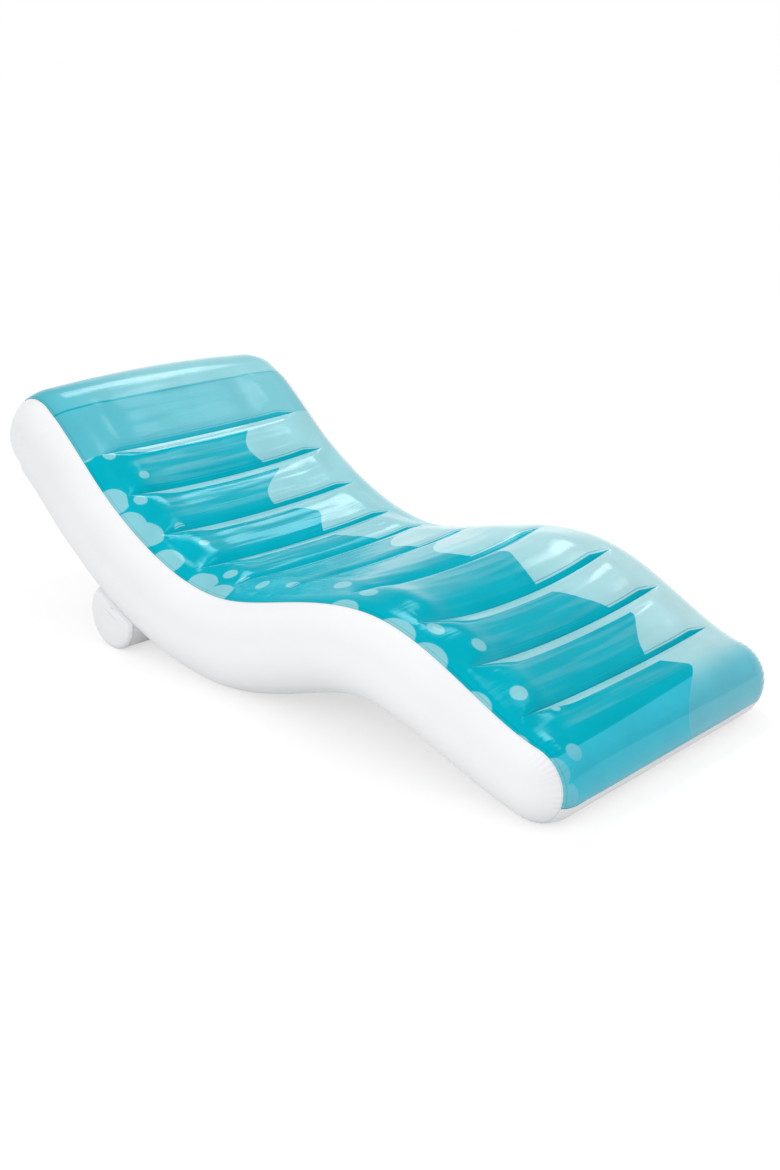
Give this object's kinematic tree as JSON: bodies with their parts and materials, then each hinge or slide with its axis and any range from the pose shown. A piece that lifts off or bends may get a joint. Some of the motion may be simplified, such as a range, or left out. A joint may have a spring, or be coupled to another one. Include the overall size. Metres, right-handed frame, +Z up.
{
  "type": "inflatable pool lounger",
  "caption": "Wave-shaped inflatable pool lounger: quilted tinted top, white sides and base, inner webs, a bolster under the back and two push-in air valves.",
  "frame": {"origin": "on the floor plane, under the middle of the float's outline", "axes": "+Z up, +Y from the foot end towards the head end, +X to the right as seen from the foot end"},
  "size_m": [0.92, 1.9078, 0.6152],
  "materials": {
    "tinted_vinyl": "gloss, see-through tint with a printed pattern",
    "white_vinyl": "satin gloss, opaque",
    "web_vinyl": "satin, opaque",
    "moulded_vinyl": "gloss, moulded",
    "flap_vinyl": "satin, soft"
  },
  "bodies": {
    "float": {"top_sheet": "tinted_vinyl", "bottom_sheet": "white_vinyl", "side_panel_left": "white_vinyl", "side_panel_right": "white_vinyl", "web_01": "web_vinyl", "web_02": "web_vinyl", "web_03": "web_vinyl", "web_04": "web_vinyl", "web_05": "web_vinyl", "web_06": "web_vinyl", "web_07": "web_vinyl", "web_08": "web_vinyl", "web_09": "web_vinyl", "web_10": "web_vinyl", "bolster_wrap": "white_vinyl", "bolster_end_left": "white_vinyl", "bolster_end_right": "white_vinyl", "main_valve_collar": "moulded_vinyl", "bolster_valve_collar": "moulded_vinyl"},
    "main_stem": {"main_valve_stem": "moulded_vinyl"},
    "main_stopper": {"main_valve_stopper": "moulded_vinyl"},
    "main_flap": {"main_valve_flap": "flap_vinyl"},
    "bolster_stem": {"bolster_valve_stem": "moulded_vinyl"},
    "bolster_stopper": {"bolster_valve_stopper": "moulded_vinyl"},
    "bolster_flap": {"bolster_valve_flap": "flap_vinyl"}
  },
  "joints": [
    {"name": "main_stem_slide", "type": "slide", "parent": "float", "child": "main_stem", "axis": [0, 0, -1], "range_m": [0, 0.014]},
    {"name": "main_stopper_hinge", "type": "hinge", "parent": "main_stem", "child": "main_stopper", "pos_m": [0.2, -0.39596, 0.10849], "axis": [1, 0, 0], "range_deg": [0, 120]},
    {"name": "main_flap_hinge", "type": "hinge", "parent": "main_stem", "child": "main_flap", "pos_m": [0.2, -0.40336, 0.13219], "axis": [-1, 0, 0], "range_deg": [0, 60], "stiffness_Nm_per_rad": 0.0001, "springref_deg": -20.05},
    {"name": "bolster_stem_slide", "type": "slide", "parent": "float", "child": "bolster_stem", "axis": [1, 0, 0], "range_m": [0, 0.014]},
    {"name": "bolster_stopper_hinge", "type": "hinge", "parent": "bolster_stem", "child": "bolster_stopper", "pos_m": [0.443, 0.47974, 0.1005], "axis": [0, -1, 0], "range_deg": [0, 120]},
    {"name": "bolster_flap_hinge", "type": "hinge", "parent": "bolster_stem", "child": "bolster_flap", "pos_m": [0.4193, 0.47974, 0.0931], "axis": [0, 1, 0], "range_deg": [0, 60], "stiffness_Nm_per_rad": 0.0001, "springref_deg": -20.05}
  ]
}
